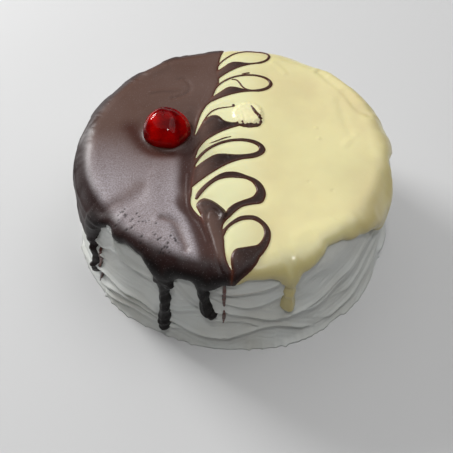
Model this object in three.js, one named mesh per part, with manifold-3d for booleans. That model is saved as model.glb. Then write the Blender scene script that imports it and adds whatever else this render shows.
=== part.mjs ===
// A round celebration cake in white whipped cream, uncut, glazed half in dark and half in white
// chocolate. Where the two glazes meet, a skewer has dragged the dark one out in six loops over the
// white one. Both glazes run over the edge in tongues and drips, and one glace cherry is pressed
// into the dark half.
//
// Millimetres, +Z up. The origin is the middle of the flat base. The join between the glazes runs
// along Y, with the dark glaze on the -X side, and -Y is the front.

import * as THREE from "three";
import { mergeVertices } from "three/addons/utils/BufferGeometryUtils.js";
import Module from "manifold-3d";

const wasm = await Module();
wasm.setup();

// ---- Driving dimensions -------------------------------------------------------------------------

const CAKE_RADIUS = 80; // cream side, just under the rounded top edge
const CREAM_HEIGHT = 58.7; // base to the top of the cream
const EDGE_ROUND = 10; // radius of the cream's rounded top edge
const SIDE_TAPER = 2; // how much further out the side is at the foot than at the top
const FOOT_FLARE = 3.5; // extra cream squeezed out round the foot
const FOOT_HEIGHT = 7; // how far up the foot's flare fades out
const GAP = 0.3; // room between touching pieces

const WHITE_GLAZE = 3; // thickness of the white chocolate glaze
const DARK_GLAZE = 3.6; // thickness of the dark chocolate glaze
const GLAZE_BEAD = 3; // length of the rounded lower rim of a glaze
const LOOP_RISE = 0.4; // how far the dragged loops stand above the dark glaze
const COLUMNS = 112; // facets round the cake

const RIDGES = 6; // strokes of the spatula one above the other round the side
const RIDGE_DEPTH = 2.4; // from a stroke's crest to its hollow, where it is deepest
const RIDGE_LOW = 5; // height of the lowest crest
const RIDGE_HIGH = 51; // height of the highest crest

const CHERRY_WIDTH = 24;
const CHERRY_HEIGHT = 20;
const CHERRY_AT = new THREE.Vector2(-34.5, 7);
const CHERRY_SUNK = 7.5; // depth of the cherry below the top of the dark glaze

const SIDE_START = CAKE_RADIUS - EDGE_ROUND; // where the flat top ends, measured from the middle
const EDGE_ARC = (EDGE_ROUND * Math.PI) / 2; // length over the rounded edge

const radians = THREE.MathUtils.degToRad;
const { lerp, smoothstep, clamp } = THREE.MathUtils;

// ---- Shapes shared by the cream and the glazes --------------------------------------------------

// The smooth outline of the cream below any angle, followed from the middle of the top (s = 0)
// outwards, over the rounded edge and down the side. depth is measured outwards from the cream.
function creamOutline(s, depth) {
  if (s <= SIDE_START) return { r: s, z: CREAM_HEIGHT + depth };
  const turn = Math.min((s - SIDE_START) / EDGE_ROUND, Math.PI / 2);
  const radius = EDGE_ROUND + depth;
  const down = Math.max(s - SIDE_START - EDGE_ARC, 0);
  const z = CREAM_HEIGHT - EDGE_ROUND + radius * Math.cos(turn) - down;
  return { r: SIDE_START + radius * Math.sin(turn) + sideSlope(z) * Math.min(down, 1), z };
}

// How far the side stands outside CAKE_RADIUS at a height: a slight taper and the flared foot.
function sideSlope(z) {
  const top = CREAM_HEIGHT - EDGE_ROUND;
  const low = clamp((top - z) / top, 0, 1);
  return SIDE_TAPER * low + FOOT_FLARE * Math.exp(-Math.max(z, 0) / FOOT_HEIGHT);
}

// Height of a glaze's top face over a point of the plan.
function glazeTop(x, y, thickness) {
  const r = Math.hypot(x, y);
  const over = clamp(r - SIDE_START, 0, EDGE_ROUND + thickness - 0.01);
  const drop = EDGE_ROUND + thickness - Math.sqrt((EDGE_ROUND + thickness) ** 2 - over ** 2);
  return CREAM_HEIGHT + thickness - drop;
}

// ---- Meshes and solids --------------------------------------------------------------------------

// A closed body of rows of points round the axis. Each column of points runs from the axis below
// to the axis above; pointAt(row, angle) gives radius and height. The columns start a share of a
// step round, so that two bodies which cross don't have their columns in line.
function bodyOfRows(rows, pointAt, columns = COLUMNS, start = 0) {
  const positions = [];
  for (let row = 0; row < rows; row++) {
    for (let column = 0; column < columns; column++) {
      const angle = (2 * Math.PI * (column + start)) / columns;
      const { r, z } = pointAt(row, angle);
      positions.push(r * Math.cos(angle), r * Math.sin(angle), z);
    }
  }
  const index = [];
  const below = positions.length / 3;
  positions.push(0, 0, pointAt(-1, 0).z, 0, 0, pointAt(rows, 0).z);
  for (let column = 0; column < columns; column++) {
    const next = (column + 1) % columns;
    index.push(below, next, column);
    const last = (rows - 1) * columns;
    index.push(below + 1, last + column, last + next);
    for (let row = 0; row + 1 < rows; row++) {
      const a = row * columns + column;
      const b = row * columns + next;
      index.push(a, b, b + columns, a, b + columns, a + columns);
    }
  }
  return geometryFrom(positions, index);
}

function geometryFrom(positions, index) {
  const geometry = new THREE.BufferGeometry();
  geometry.setAttribute("position", new THREE.Float32BufferAttribute(positions, 3));
  geometry.setIndex(index);
  return geometry;
}

// A closed body lofted through rings of the same number of points, with a fan at each end.
function bodyOfRings(rings) {
  const size = rings[0].length;
  const positions = rings.flat().flatMap((p) => [p.x, p.y, p.z]);
  const index = [];
  for (let ring = 0; ring + 1 < rings.length; ring++) {
    for (let k = 0; k < size; k++) {
      const a = ring * size + k;
      const b = ring * size + ((k + 1) % size);
      index.push(a, b, b + size, a, b + size, a + size);
    }
  }
  for (let k = 1; k + 1 < size; k++) {
    const last = (rings.length - 1) * size;
    index.push(0, k + 1, k, last, last + k, last + k + 1);
  }
  return geometryFrom(positions, index);
}

function solidFrom(geometry) {
  const bare = geometry.clone();
  bare.deleteAttribute("normal");
  bare.deleteAttribute("uv");
  const merged = mergeVertices(bare, 1e-4);
  const solid = new wasm.Manifold(
    new wasm.Mesh({
      numProp: 3,
      vertProperties: merged.attributes.position.array,
      triVerts: new Uint32Array(merged.index.array),
    }),
  );
  if (solid.volume() < 0) throw new Error("a body is inside out");
  return solid;
}

// The largest body of a solid: a cut can leave a loose scrap, which is dropped.
function largest(solid) {
  return solid.decompose().reduce((a, b) => (a.volume() > b.volume() ? a : b));
}

function meshOf(name, solid, material) {
  const { vertProperties, triVerts } = solid.getMesh();
  const geometry = geometryFrom(Array.from(vertProperties), Array.from(triVerts));
  geometry.computeVertexNormals();
  const mesh = new THREE.Mesh(geometry, material);
  mesh.name = name;
  return mesh;
}

// ---- The cream-covered cake ---------------------------------------------------------------------

// Each stroke of the spatula wanders up and down as it goes round, and comes and goes in depth.
function strokeRise(angle) {
  return 2.4 * Math.sin(2 * angle + 0.6) + 1.5 * Math.sin(3 * angle - 1.1);
}

function strokeDepth(stroke, angle) {
  return RIDGE_DEPTH * (0.62 + 0.38 * Math.sin((1 + (stroke % 3)) * angle + 2.1 * stroke));
}

// The uncut cake with its cream: a flat base, a ragged foot, strokes up the side, a rounded edge
// and a nearly flat top. grow moves every face out, for the room that the glazes keep to it.
function creamBody(grow = 0) {
  const sideRows = 2 * RIDGES + 1; // a crest and a hollow for each stroke, and the last crest
  const edgeRows = 3;
  const footRows = 2;
  const rows = footRows + sideRows + edgeRows;
  const pitch = (RIDGE_HIGH - RIDGE_LOW) / (2 * RIDGES);
  const pointAt = (row, angle) => {
    if (row < 0) return { r: 0, z: -grow };
    if (row >= rows) return { r: 0, z: CREAM_HEIGHT + grow };
    const ragged = 1.1 * Math.sin(4 * angle - 0.2) + 0.8 * Math.sin(11 * angle + 1.8);
    const foot = CAKE_RADIUS + SIDE_TAPER + FOOT_FLARE + ragged + grow;
    if (row === 0) return { r: foot, z: -grow };
    if (row === 1) return { r: foot - 0.8, z: 1.6 };
    const side = row - footRows;
    if (side < sideRows) {
      const fade = Math.sin((Math.PI * (side + 0.6)) / (sideRows + 0.2));
      const z = RIDGE_LOW + side * pitch + strokeRise(angle) * fade * 0.8;
      const hollow = side % 2 ? -0.6 : 0.4;
      const r = CAKE_RADIUS + sideSlope(z) + hollow * strokeDepth(side >> 1, angle) * Math.min(fade * 2, 1);
      const rounding = Math.max(z - (CREAM_HEIGHT - EDGE_ROUND), 0);
      return { r: r - EDGE_ROUND + Math.sqrt(EDGE_ROUND ** 2 - rounding ** 2) + grow, z };
    }
    const steep = Math.asin((RIDGE_HIGH - CREAM_HEIGHT + EDGE_ROUND) / EDGE_ROUND);
    const turn = lerp(steep, Math.PI / 2, (side - sideRows + 1) / edgeRows);
    return {
      r: SIDE_START + (EDGE_ROUND + grow) * Math.cos(turn),
      z: CREAM_HEIGHT - EDGE_ROUND + (EDGE_ROUND + grow) * Math.sin(turn),
    };
  };
  return solidFrom(bodyOfRows(rows, pointAt));
}

// ---- The two glazes -----------------------------------------------------------------------------

// Where the glaze's rim lies, as a length from the middle over the edge. Broad tongues run further
// down, and at a notch the cream shows right up to the top edge.
const RIM = SIDE_START + EDGE_ARC - 3;
const TONGUES = [
  { at: -163, width: 9, run: 24 },
  { at: -149, width: 5, run: 10 },
  { at: -139, width: 3, run: 4 },
  { at: -127, width: 7, run: -9 },
  { at: -113.5, width: 4.5, run: 7 },
  { at: -98, width: 3.5, run: 5 },
  { at: -81, width: 4, run: -3 },
  { at: -71, width: 3.4, run: 6 },
  { at: -53, width: 10, run: -8 },
  { at: -31, width: 7, run: 2 },
  { at: -6, width: 8, run: -4 },
  { at: 14, width: 7, run: 9 },
  { at: 41, width: 8, run: -5 },
  { at: 60, width: 6, run: 8 },
  { at: 84, width: 8, run: 2 },
  { at: 108, width: 6, run: 9 },
  { at: 128, width: 7, run: -6 },
  { at: 147, width: 6, run: 10 },
  { at: 169, width: 6, run: -3 },
];

function rimAt(angle) {
  const degrees = THREE.MathUtils.radToDeg(angle);
  const runs = TONGUES.map(({ at, width, run }) => {
    const off = ((degrees - at + 540) % 360) - 180;
    return run * Math.exp(-((off / width) ** 2));
  });
  return RIM + runs.reduce((a, b) => a + b, 0) + 0.7 * Math.sin(11 * angle);
}

// The whole glaze over the top and the edge, filled down into the cake: the cream is cut out later.
function glazeCap(thickness) {
  const bead = [0, 0.5, 0.85, 1]; // shares of the bead's length
  const turns = 5; // steps from the bead to the flat top
  const rows = 1 + bead.length + turns;
  const pointAt = (row, angle) => {
    if (row < 0) return { r: 0, z: CREAM_HEIGHT / 2 };
    if (row >= rows) return { r: 0, z: CREAM_HEIGHT + thickness };
    const rim = rimAt(angle);
    if (row === 0) return creamOutline(rim - 2, -4);
    if (row <= bead.length) {
      const along = bead[bead.length - row];
      return creamOutline(rim - GLAZE_BEAD * (1 - along), thickness * Math.sqrt(1 - along ** 2) - along);
    }
    const share = (row - bead.length) / turns;
    return creamOutline(lerp(rim - GLAZE_BEAD, SIDE_START, share), thickness);
  };
  return solidFrom(bodyOfRows(rows, pointAt, COLUMNS, 0.5));
}

// A run of glaze down the side: a rounded strip along a wandering path, with a fuller drop at its
// end. wander lists how far the path has moved sideways, in even steps from its top to its end.
function drip({ at, from, to, width, thick = 2.4, wander = [0, 0] }) {
  const steps = 7;
  const around = 8;
  const rings = [];
  for (let step = 0; step <= steps; step++) {
    const t = step / steps;
    const place = t * (wander.length - 1);
    const low = Math.min(Math.floor(place), wander.length - 2);
    const sideways = lerp(wander[low], wander[low + 1], place - low);
    const z = lerp(from, to, t);
    const end = Math.sqrt(Math.max(1 - ((t - 0.86) / 0.15) ** 2, 0.04));
    const swell = (t < 0.86 ? 1 : end) * (1 + 0.16 * Math.sin(9 * t + at));
    const angle = radians(at) + sideways / CAKE_RADIUS;
    const cream = CAKE_RADIUS + sideSlope(z);
    const out = new THREE.Vector3(Math.cos(angle), Math.sin(angle), 0);
    const along = new THREE.Vector3(-Math.sin(angle), Math.cos(angle), 0);
    rings.push(
      Array.from({ length: around }, (_, k) => {
        const turn = (2 * Math.PI * k) / around;
        const stand = (thick + 1) * swell * Math.cos(turn) - 0.6;
        const half = (width / 2) * swell * Math.sin(turn);
        return out.clone().multiplyScalar(cream + stand).addScaledVector(along, half).setZ(z);
      }).reverse(),
    );
  }
  return solidFrom(bodyOfRings(rings));
}

const DARK_DRIPS = [
  { at: -150.5, from: 44, to: 2.2, width: 4.6, thick: 2.6, wander: [2, 0, -1, 1, 0, -1] },
  { at: -145.8, from: 31, to: 1.6, width: 2.2, thick: 1.6, wander: [1, 0, 1, 0, 1] },
  { at: -114.4, from: 50, to: 4.6, width: 5, thick: 2.8, wander: [-1, 0.5, 0, 0.5, 0, 0.5] },
  { at: -99.4, from: 50, to: 25, width: 5.6, thick: 2.8, wander: [-1, 0, 0.2, 1, 4.6] },
  { at: -92.8, from: 56, to: 19, width: 1.9, thick: 1.2, wander: [0, 0.3, -0.2, 0.2, 0] },
  { at: 108, from: 46, to: 24, width: 5.2, wander: [0, 1, 0.4] },
  { at: 147, from: 45, to: 12, width: 4.8, wander: [0, -1, 0.6] },
];
const WHITE_DRIPS = [
  { at: -70.4, from: 50, to: 25, width: 6, wander: [1, 0.4, 0, 0] },
  { at: 14, from: 46, to: 21, width: 5.4, wander: [0, 1, 0.3] },
  { at: 60, from: 46, to: 30, width: 5, wander: [0, -0.6, 0] },
];

// The line where the two glazes meet, from the far edge to the near one, as x, y pairs.
const JOIN = [
  [-4, 100],
  [-7, 80],
  [-10.8, 58.5],
  [-8.7, 52],
  [-13.3, 34],
  [-18.5, 23],
  [-21, 4],
  [-18.3, 0.5],
  [-20, -16],
  [-18.8, -24],
  [-20.3, -39],
  [-13, -53],
  [-6, -59],
  [-3.8, -68],
  [-0.8, -79],
  [-0.5, -100],
];

// An upright block of everything on one side of the join: side is -1 for the dark half and 1 for
// the white one.
function halfBlock(side) {
  const join = new THREE.SplineCurve(JOIN.map((p) => new THREE.Vector2(...p)));
  const line = join.getPoints(45).map((p) => new THREE.Vector2(p.x + (side * GAP) / 2, p.y));
  const far = side * 2 * CAKE_RADIUS;
  const outline = [...line, new THREE.Vector2(far, line.at(-1).y), new THREE.Vector2(far, line[0].y)];
  const block = new THREE.ExtrudeGeometry(new THREE.Shape(outline), {
    depth: 2 * CREAM_HEIGHT,
    bevelEnabled: false,
  });
  return solidFrom(block);
}

// The six loops of dark glaze dragged over the white one, from the far edge to the near one. Each
// line of glaze runs round a white drop that lies on its side: end is the drop's round right end,
// elbow the point that its spine bends towards, tip its pointed left end, open its half height, and
// pinch how far it is pushed up near the tip. The line is thin above the drop and thick round its
// end. Below, it widens into a root on the dark half, whose lower side bends at heel to foot.
const LOOPS = [
  { end: [17.8, 70.2], elbow: [-6, 70.5], tip: [-12, 55], heel: [0, 63], foot: [-10, 50], open: 5.2, pinch: 0.8, thin: 1, thick: 1.5 },
  { end: [18.2, 47.2], elbow: [-7, 51], tip: [-14, 33.5], heel: [-2, 41.5], foot: [-18, 28], open: 6, pinch: 0.8, thin: 1.2, thick: 2.1 },
  { end: [11.2, 21.8], elbow: [-10, 27.5], tip: [-20.8, 8], heel: [-2, 13.5], foot: [-20.5, -4], open: 6.6, pinch: 0.85, thin: 1.2, thick: 2.5 },
  { end: [12.2, -3.5], elbow: [-13, 1], tip: [-20.8, -19], heel: [-5, -11.5], foot: [-21, -31], open: 4.8, pinch: 0.6, thin: 1.8, thick: 3.5 },
  { end: [11.2, -31.5], elbow: [-9, -31.5], tip: [-20, -43], heel: [1, -43.5], foot: [-7, -61], open: 10.6, pinch: 0.75, thin: 2.9, thick: 3.8 },
  { end: [14.4, -56.5], elbow: [-7, -52], tip: [-1.2, -80], heel: [14, -72], foot: [2.5, -82], open: 8.6, pinch: 0.3, thin: 1.8, thick: 3.2 },
];
const LOOP_STEPS = 24;
const ROOT_START = 0.34; // share of the way from the round end to the root where it starts to widen

// The two edges of a loop's line of glaze, point by point: inner round the white drop, and outer on
// its far side. Both run from the tip over the top, round the end and back below to the root.
function loopEdges({ end, elbow, tip, heel, foot, open, pinch, thin, thick }) {
  const spine = new THREE.QuadraticBezierCurve(...[end, elbow, tip].map((p) => new THREE.Vector2(...p)));
  const lineAt = (u) => {
    const s = u * u; // from the round end to the tip, along the spine
    const pushed = u < 0 ? 1 - pinch * Math.exp(-(((s - 0.57) / 0.2) ** 2)) : 1;
    const half = open * pushed * Math.sqrt(s) * (1 - s) ** 1.5 * 3.08;
    const along = spine.getTangent(s);
    const side = new THREE.Vector2(along.y, -along.x).multiplyScalar(u > 0 ? 1 : -1);
    const away = side.clone().lerp(along.negate(), clamp(1 - Math.abs(u) / 0.35, 0, 1)).normalize();
    const inner = spine.getPoint(s).addScaledVector(side, half);
    return { inner, outer: inner.clone().addScaledVector(away, lerp(thick, thin, clamp(2 * u, 0, 1))) };
  };
  const under = lineAt(-ROOT_START).outer;
  const root = new THREE.QuadraticBezierCurve(under, new THREE.Vector2(...heel), new THREE.Vector2(...foot));
  return Array.from({ length: LOOP_STEPS + 1 }, (_, k) => {
    const u = 1 - (2 * k) / LOOP_STEPS;
    const { inner, outer } = lineAt(u);
    const rooted = (-u - ROOT_START) / (1 - ROOT_START);
    return { inner, outer: rooted > 0 ? root.getPoint(rooted) : outer };
  });
}

// A loop as a strip with bevelled shoulders. It reaches a little into the white glaze, whose room
// is cut out of it afterwards.
function loopSolid(loop) {
  const top = DARK_GLAZE - WHITE_GLAZE + LOOP_RISE;
  const over = (p, height) => new THREE.Vector3(p.x, p.y, glazeTop(p.x, p.y, WHITE_GLAZE) + height);
  const rings = loopEdges(loop).map(({ inner, outer }) => {
    const bevel = Math.min(0.35 / inner.distanceTo(outer), 0.25); // as a share of the width
    const across = (share, height) => over(outer.clone().lerp(inner, share), height);
    return [
      across(0, -0.6),
      across(bevel, top),
      across(0.35, top),
      across(0.65, top),
      across(1 - bevel, top),
      across(1, -0.6),
      across(0.5, -0.6),
    ];
  });
  return solidFrom(bodyOfRings(rings));
}

// ---- The cherry ---------------------------------------------------------------------------------

// A cherry without its stalk: a ball flatter than it is wide, a little uneven, dimpled on top.
function cherryBody(grow = 0, around = 24, rows = 13) {
  const centre = glazeTop(CHERRY_AT.x, CHERRY_AT.y, DARK_GLAZE) + CHERRY_HEIGHT / 2 - CHERRY_SUNK;
  const pointAt = (row, angle) => {
    const rise = -Math.PI / 2 + (Math.PI * (row + 1)) / (rows + 1);
    const uneven = 1 + 0.025 * Math.sin(3 * angle + 0.8) * Math.cos(rise);
    const dimple = 0.9 * Math.exp(-(((Math.PI / 2 - rise) / 0.3) ** 2));
    return {
      r: (CHERRY_WIDTH / 2 + grow) * Math.cos(rise) ** 0.92 * uneven,
      z: centre + (CHERRY_HEIGHT / 2 + grow) * Math.sin(rise) - dimple,
    };
  };
  const ball = bodyOfRows(rows, (row, angle) => (row < 0 || row >= rows ? { r: 0, z: pointAt(row, 0).z } : pointAt(row, angle)), around);
  return solidFrom(ball.translate(CHERRY_AT.x, CHERRY_AT.y, 0));
}

// ---- Materials and the finished cake ------------------------------------------------------------

const cream = new THREE.MeshStandardMaterial({ color: 0xe4e3df, roughness: 0.55, metalness: 0 });
const darkChocolate = new THREE.MeshStandardMaterial({ color: 0x3a2521, roughness: 0.32, metalness: 0 });
const whiteChocolate = new THREE.MeshStandardMaterial({ color: 0xe9dfa6, roughness: 0.35, metalness: 0 });
const cherryRed = new THREE.MeshStandardMaterial({ color: 0x8f0606, roughness: 0.12, metalness: 0 });

const socket = cherryBody(GAP);
const creamRoom = creamBody(GAP);

const creamCake = creamBody().subtract(socket);

const darkHalf = DARK_DRIPS.reduce(
  (glaze, run) => glaze.add(drip(run)),
  glazeCap(DARK_GLAZE).intersect(halfBlock(-1)),
);
const whiteRoom = glazeCap(WHITE_GLAZE + GAP);
const loops = LOOPS.map(loopSolid)
  .reduce((a, b) => a.add(b))
  .subtract(whiteRoom);
const darkGlaze = darkHalf.add(loops).subtract(creamRoom).subtract(socket);

const whiteGlaze = WHITE_DRIPS.reduce((glaze, run) => glaze.add(drip(run)), glazeCap(WHITE_GLAZE))
  .intersect(halfBlock(1))
  .subtract(creamRoom);

const cake = new THREE.Group();
cake.add(
  meshOf("cream_cake", largest(creamCake), cream),
  meshOf("dark_glaze", largest(darkGlaze), darkChocolate),
  meshOf("white_glaze", largest(whiteGlaze), whiteChocolate),
  meshOf("cherry", largest(cherryBody()), cherryRed),
);

export default cake;
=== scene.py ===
import bpy
import numpy as np
from mathutils import Matrix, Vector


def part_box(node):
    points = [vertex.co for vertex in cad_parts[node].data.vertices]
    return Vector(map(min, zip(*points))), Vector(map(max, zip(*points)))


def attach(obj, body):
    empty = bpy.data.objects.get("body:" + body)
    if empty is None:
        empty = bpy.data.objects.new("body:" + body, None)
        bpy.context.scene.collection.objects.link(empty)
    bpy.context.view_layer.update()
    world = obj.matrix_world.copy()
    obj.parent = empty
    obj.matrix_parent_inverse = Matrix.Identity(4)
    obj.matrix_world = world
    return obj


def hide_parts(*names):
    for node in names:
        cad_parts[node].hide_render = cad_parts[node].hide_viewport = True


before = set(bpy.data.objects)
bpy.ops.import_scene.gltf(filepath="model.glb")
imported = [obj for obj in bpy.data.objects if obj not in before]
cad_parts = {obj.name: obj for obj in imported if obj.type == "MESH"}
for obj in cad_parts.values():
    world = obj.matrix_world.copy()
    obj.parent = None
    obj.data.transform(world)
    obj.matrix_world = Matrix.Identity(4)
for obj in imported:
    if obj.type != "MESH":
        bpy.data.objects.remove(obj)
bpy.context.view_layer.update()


# ---- Cream ---------------------------------------------------------------------------------------
# The uncut cake in its coat of whipped cream. A flat spatula drawn round the side leaves broad
# facets with sharp crests between them, and a ragged foot where it was squeezed down.

MM = 0.001  # the shapes below are worked out in millimetres
TURN = 2 * np.pi

cream_low, cream_high = [np.array(corner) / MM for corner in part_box("cream_cake")]
CREAM_HEIGHT = cream_high[2]
CAKE_RADIUS = 80.0  # side, just under the rounded top edge
EDGE_ROUND = 10.0  # radius of the rounded top edge
SIDE_TAPER = 2.0  # how much further out the side stands at the foot
FOOT_FLARE = 3.5  # extra cream squeezed out round the foot
FOOT_HEIGHT = 7.0  # how far up that flare fades out
FLAT_END = CAKE_RADIUS - EDGE_ROUND  # where the flat top ends, from the middle
EDGE_ARC = EDGE_ROUND * np.pi / 2  # length over the rounded edge
SIDE_TOP = FLAT_END + EDGE_ARC  # where the side begins, followed from the middle
SIDE_LENGTH = CREAM_HEIGHT - EDGE_ROUND
CREST_SHARP = 0.6  # length over which a crest drops away on its lower side
CREST_WIDTH = 1.4  # width of the raised crest itself, above its edge
CREST_SHARE = 0.45  # its share of the height, the facet above it having the rest
CREST_FADE = 6.0  # degrees over which a crest runs out at its ends
CREST_DEPTH = 2.0  # scales all crests
CREST_SUNK = 1.3  # how far the troughs between the crests lie inside the smooth side
DRAG_LINES = 0.1  # depth of the fine lines that the spatula drags along a crest
DRAG_STRETCH = 14.0  # how much longer those lines are than wide
BROAD_WAVES = 0.3  # slow unevenness of the whole side

# Crests that show in front: depth, how far up the facet falls away, (degrees, height) along it.
FRONT_CRESTS = (
    (1.9, 9, ((-150, 57), (-138, 53.5), (-133, 48), (-127, 43.5), (-121, 43), (-113, 46))),
    (1.3, 6, ((-160, 30), (-150, 33), (-143, 36), (-137, 42.5), (-130, 43.5))),
    (1.9, 11, ((-172, 14), (-158, 12), (-149, 13), (-142, 17), (-132, 18.5), (-123, 19), (-112, 15.5))),
    (1.5, 4, ((-150, 3), (-144, 6), (-137, 11), (-129, 14), (-122, 14.2), (-110, 12.5))),
    (1.3, 4, ((-146, 1), (-141, 3), (-133, 6), (-125, 9), (-115, 10), (-106, 8))),
    (1.0, 6, ((-134, 60), (-128, 57), (-121, 55.5), (-113, 51), (-107, 47))),
    (1.2, 8, ((-117, 48), (-111, 46), (-107, 39), (-104, 33.5), (-99, 29), (-93, 27))),
    (1.0, 6, ((-116, 24), (-109, 24.5), (-103, 27), (-95, 28.5), (-89, 27))),
    (1.2, 5, ((-119, 14), (-112, 13.5), (-105, 11), (-95, 8.5), (-88, 10))),
    (1.1, 6, ((-99, 46), (-92, 43.5), (-87, 43), (-82, 44), (-76, 47), (-70, 51))),
    (0.9, 5, ((-98, 36.5), (-92, 35.5), (-85, 33), (-79, 33.5), (-73, 38), (-68, 43))),
    (1.2, 6, ((-96, 31), (-89, 28), (-83, 24.5), (-76, 21), (-69, 21), (-61, 24), (-53, 30))),
    (0.9, 4, ((-99, 20), (-92, 21.5), (-85, 20), (-78, 14.5), (-73, 12))),
    (1.2, 5, ((-97, 5), (-92, 8), (-85, 13.5), (-78, 15.5), (-67, 9.5), (-60, 4.5))),
    (1.3, 7, ((-70, 23), (-62, 21.5), (-56, 23), (-49, 29), (-41, 37), (-32, 42), (-24, 44))),
    (1.1, 4, ((-67, 52), (-63, 56), (-58, 60))),
    (1.2, 6, ((-63, 25), (-54, 27.5), (-47, 33.5), (-38, 41), (-30, 47))),
    (1.2, 6, ((-58, 6), (-50, 6.5), (-42, 9), (-33, 15), (-24, 22), (-16, 30))),
    (1.1, 5, ((-50, 16), (-41, 20), (-33, 27), (-25, 34), (-17, 40))),
)
# The rest of the side carries the same strokes: rows of long sagging crests, overlapping at the ends.
BACK_START = -24.0
BACK_END = 196.0
BACK_ROWS = 7
BACK_STROKES = 5
BACK_LOW = 3.0  # height of the lowest row
BACK_SPAN = 50.0  # from the lowest row to the highest
BACK_LAP = 1.25  # length of a stroke, where 1 would end at the next one
BACK_SEED = 41


def ripples(x, y, size, seed, waves=22):
    """Soft unevenness of about one either way: cosine waves in random directions, each near size."""
    draw = np.random.default_rng(seed)
    total = np.zeros(np.shape(x))
    for _ in range(waves):
        heading, phase = draw.uniform(0, TURN, 2)
        pace = TURN / (size * draw.uniform(0.7, 1.6))
        total += np.cos(pace * (x * np.cos(heading) + y * np.sin(heading)) + phase)
    return total * np.sqrt(2 / waves)


def ramp(value, low, high):
    """0 below low and 1 above high, with a smooth S between."""
    share = np.clip((value - low) / (high - low), 0, 1)
    return share * share * (3 - 2 * share)


def bell(away, width):
    """1 in the middle, falling off either way as exp(-(away / width) squared)."""
    return np.exp(-((away / width) ** 2))


def turned_from(angle, at):
    """How many degrees angle lies past at, from -180 to 180."""
    return (angle - at + 180) % 360 - 180


def curve_through(points, steps):
    """Points along the smooth curve through the given ones, each stretch a cubic whose slope at a
    point is half the way between its two neighbours."""
    points = np.array(points, float)
    place = np.linspace(0, len(points) - 1, steps)
    first = np.minimum(place.astype(int), len(points) - 2)
    t = (place - first)[:, None]
    before, a, b, after = [points[np.clip(first + k, 0, len(points) - 1)] for k in (-1, 0, 1, 2)]
    slope_a, slope_b = (b - before) / 2, (after - a) / 2
    bend = (2 * a - 2 * b + slope_a + slope_b) * t**3
    return bend + (3 * b - 3 * a - 2 * slope_a - slope_b) * t**2 + slope_a * t + a


def side_slope(z):
    """How far the side stands outside CAKE_RADIUS: a straight taper, and a flare that dies away
    upwards."""
    low = np.clip((SIDE_LENGTH - z) / SIDE_LENGTH, 0, 1)
    return SIDE_TAPER * low + FOOT_FLARE * np.exp(-np.clip(z, 0, None) / FOOT_HEIGHT)


def outline(s, depth=0.0):
    """Radius and height of the cake's smooth outline: flat, then a quarter round, then the side.
    s runs from the middle of the top outwards and down, and depth is measured outwards."""
    turn = np.clip((s - FLAT_END) / EDGE_ROUND, 0, np.pi / 2)
    down = np.clip(s - SIDE_TOP, 0, None)
    z = SIDE_LENGTH + (EDGE_ROUND + depth) * np.cos(turn) - down
    r = np.minimum(s, FLAT_END) + (EDGE_ROUND + depth) * np.sin(turn) + side_slope(z) * np.minimum(down, 1)
    return r, z


def on_cake(angle, s, depth):
    """Points at an angle (radians) and a length s from the middle, standing depth off the outline."""
    r, z = outline(s, depth)
    return np.stack([r * np.cos(angle), r * np.sin(angle), z], -1)


def crest(angle, z, depth, reach, path, sharp):
    """One pass of the spatula: a narrow raised crest along path, with a facet that falls away over
    reach above it and a drop over the length sharp below. Returns its height and the distance
    across it, which is positive above the crest."""
    line = curve_through(path, 40)
    middle = (line[0, 0] + line[-1, 0]) / 2
    along = turned_from(angle, middle)
    level = np.interp(along, line[:, 0] - middle, line[:, 1])
    steepness = np.gradient(line[:, 1], np.radians(line[:, 0]) * CAKE_RADIUS)
    across = (z - level) / np.hypot(1, np.interp(along, line[:, 0] - middle, steepness))
    facet = np.clip(1 - across / reach, 0, 1) ** 1.3
    above = (1 - CREST_SHARE) * facet + CREST_SHARE * bell(across, CREST_WIDTH)
    below = np.exp(np.minimum(across, 0) / sharp)
    ends = ramp(along, line[0, 0] - middle, line[0, 0] - middle + CREST_FADE)
    ends = ends * ramp(-along, middle - line[-1, 0], middle - line[-1, 0] + CREST_FADE)
    return depth * np.where(across > 0, above, below) * ends, across


def back_crests():
    """The crests of the hidden part of the side: rows of long, sagging, sloping strokes."""
    draw = np.random.default_rng(BACK_SEED)
    stroke = (BACK_END - BACK_START) / BACK_STROKES
    crests = []
    for row in range(BACK_ROWS):
        for k in range(BACK_STROKES):
            start = BACK_START + stroke * (k + draw.uniform(-0.3, 0.1) + 0.4 * (row % 2))
            level = BACK_LOW + (row + draw.uniform(-0.25, 0.25)) * BACK_SPAN / (BACK_ROWS - 1)
            rise, sag = draw.uniform(-7, 9), draw.uniform(-1, 6)
            share = np.linspace(0, 1, 5)
            height = level + rise * (share - 0.5) - sag * np.sin(np.pi * share)
            path = np.column_stack([start + stroke * BACK_LAP * share, height])
            crests.append((draw.uniform(0.7, 1.5), draw.uniform(5, 10), path))
    return crests


CRESTS = FRONT_CRESTS + tuple(back_crests())


def spatula_marks(angle, z, lines=DRAG_LINES, sharp=CREST_SHARP):
    """Relief of the cream's side: the highest of all crests, with fine lines dragged along it. What
    lies on the cream follows the same crests without the lines, and with a softer drop."""
    relief = np.zeros(np.shape(angle))
    across = z
    for depth, reach, path in CRESTS:
        height, away = crest(angle, z, CREST_DEPTH * depth, reach, path, sharp)
        across = np.where(height > relief, away, across)
        relief = np.maximum(relief, height)
    drag = ripples(np.radians(angle) * CAKE_RADIUS / DRAG_STRETCH, across, 1.7, 7)
    broad = ripples(np.radians(angle) * CAKE_RADIUS, z * 1.6, 26, 8)
    return relief - CREST_SUNK + lines * drag + BROAD_WAVES * broad


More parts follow.
